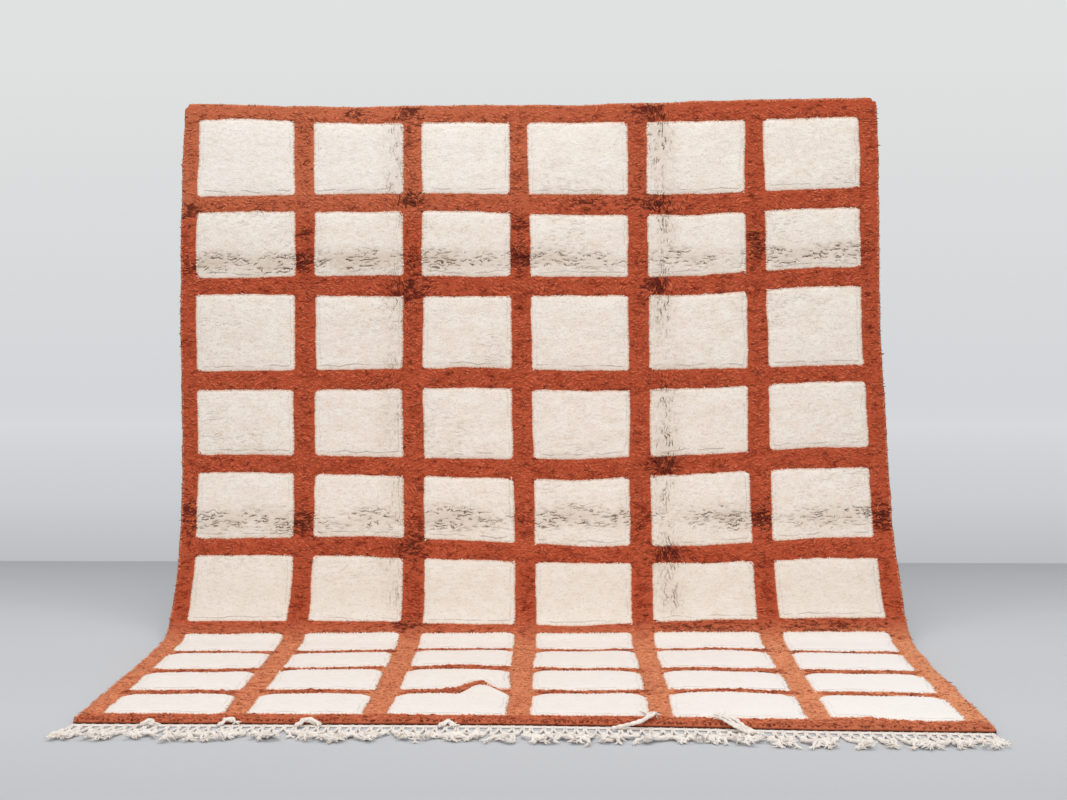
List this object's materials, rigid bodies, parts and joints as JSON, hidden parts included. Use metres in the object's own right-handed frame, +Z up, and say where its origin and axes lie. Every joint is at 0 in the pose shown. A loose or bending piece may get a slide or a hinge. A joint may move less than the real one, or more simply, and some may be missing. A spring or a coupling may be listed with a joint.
{
  "type": "beni ourain rug",
  "caption": "Deep-pile wool rug with a grid of panels, hung by its top edge with its front part slack on the floor, and a knotted fringe along the front edge.",
  "frame": {"origin": "on the floor, at the middle of the bounding box", "axes": "+X along the front edge, -Y out of the front edge along the floor, +Z up"},
  "size_m": [2.4708, 1.8128, 1.8353],
  "materials": {
    "wool_pile": "matt knotted wool pile, cream panels in a rust grid and border",
    "fringe_yarn": "matt twisted cream yarn"
  },
  "bodies": {
    "root": {"rug": "wool_pile", "fringe": "fringe_yarn"}
  },
  "joints": []
}
